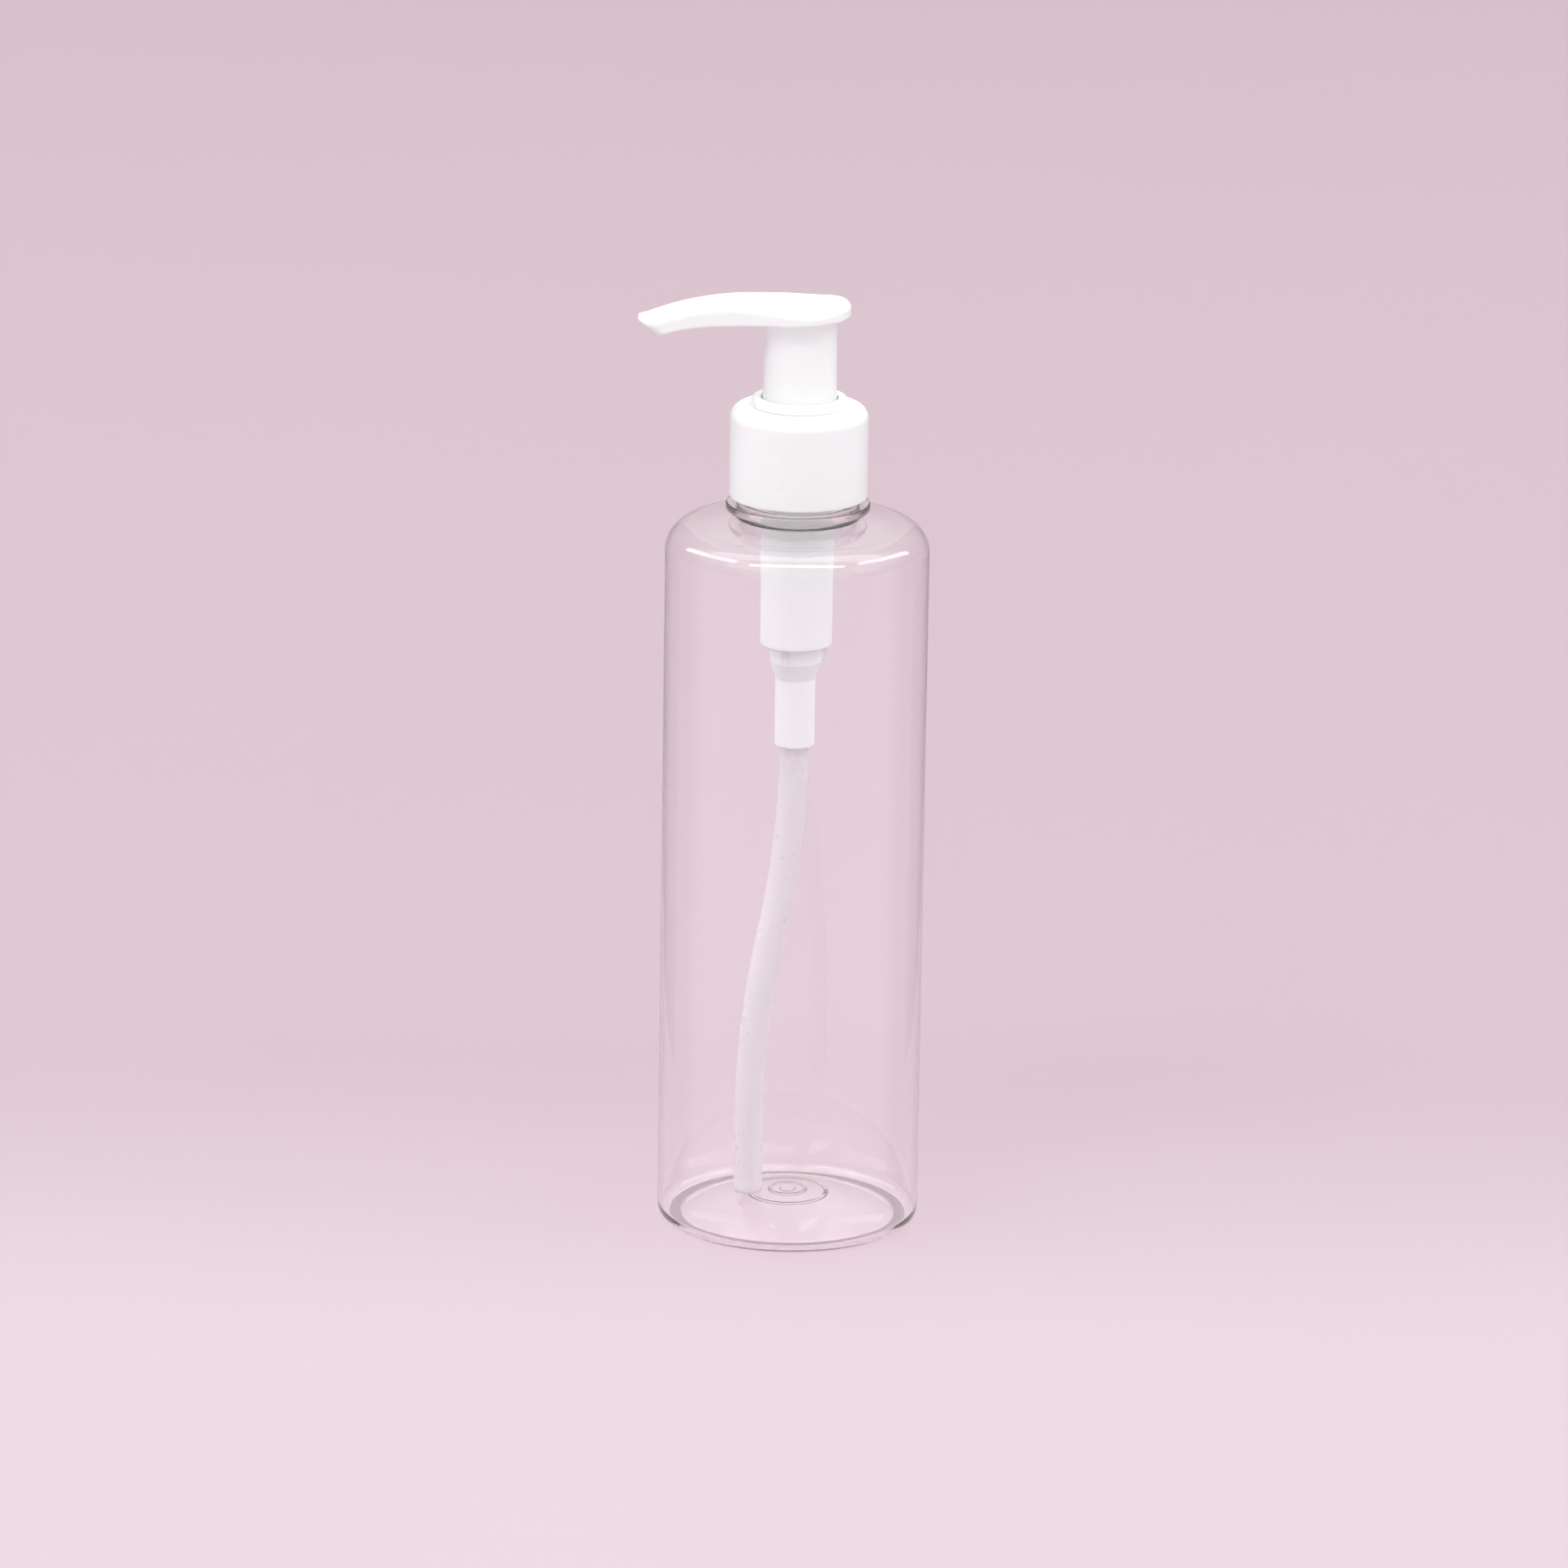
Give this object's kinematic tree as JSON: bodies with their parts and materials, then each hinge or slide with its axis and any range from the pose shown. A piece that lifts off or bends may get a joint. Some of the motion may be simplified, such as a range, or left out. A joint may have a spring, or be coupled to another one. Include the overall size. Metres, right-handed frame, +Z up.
{
  "type": "soap pump dispenser",
  "caption": "Clear cylindrical bottle with a white screw closure and a lotion pump: rounded thumb pad, drooping spout, sprung plunger, valve balls and a leaning dip tube.",
  "frame": {"origin": "on the bottle's axis, in the plane that its foot ring stands on", "axes": "+Z up along the bottle's axis; the spout points along -X with the head straight"},
  "size_m": [0.0575, 0.0514, 0.1866],
  "materials": {
    "clear_bottle": "clear polished PET",
    "white_moulding": "white moulded polypropylene, soft gloss",
    "milky_moulding": "natural milky polypropylene, satin",
    "dip_tube": "hazy polyethylene, satin",
    "seal": "soft polyethylene",
    "spring_steel": "drawn stainless wire",
    "ball_glass": "polished glass"
  },
  "bodies": {
    "bottle": {"bottle": "clear_bottle"},
    "pump": {"housing": "milky_moulding", "lock_collar": "white_moulding", "neck_gasket": "seal", "ball_cage": "milky_moulding", "dip_tube": "dip_tube", "return_spring": "spring_steel"},
    "closure": {"closure": "white_moulding"},
    "plunger": {"piston": "seal"},
    "head": {"head": "white_moulding", "stem": "milky_moulding", "valve_rod": "milky_moulding"},
    "inlet_ball": {"inlet_ball": "ball_glass"},
    "outlet_ball": {"outlet_ball": "ball_glass"}
  },
  "joints": [
    {"name": "pump_lift", "type": "slide", "parent": "bottle", "child": "pump", "axis": [0, 0, 1], "range_m": [0, 0.00476]},
    {"name": "closure_turn", "type": "hinge", "parent": "pump", "child": "closure", "pos_m": [0, 0, 0.155], "axis": [0, 0, 1], "range_deg": [0, 541]},
    {"name": "head_press", "type": "slide", "parent": "pump", "child": "plunger", "axis": [0, 0, -1], "range_m": [0, 0.013], "stiffness_N_per_m": 700, "springref_m": -0.01, "deforming": ["return_spring"]},
    {"name": "head_turn", "type": "hinge", "parent": "plunger", "child": "head", "pos_m": [0, 0, 0.18], "axis": [0, 0, 1], "continuous": true},
    {"name": "inlet_ball_lift", "type": "slide", "parent": "pump", "child": "inlet_ball", "axis": [0, 0, 1], "range_m": [0, 0.0015]},
    {"name": "outlet_ball_lift", "type": "slide", "parent": "head", "child": "outlet_ball", "axis": [0, 0, 1], "range_m": [0, 0.0015]}
  ],
  "couplings": [
    {"joint": "closure_turn", "follows": "pump_lift", "rad_per_m": 1979}
  ]
}
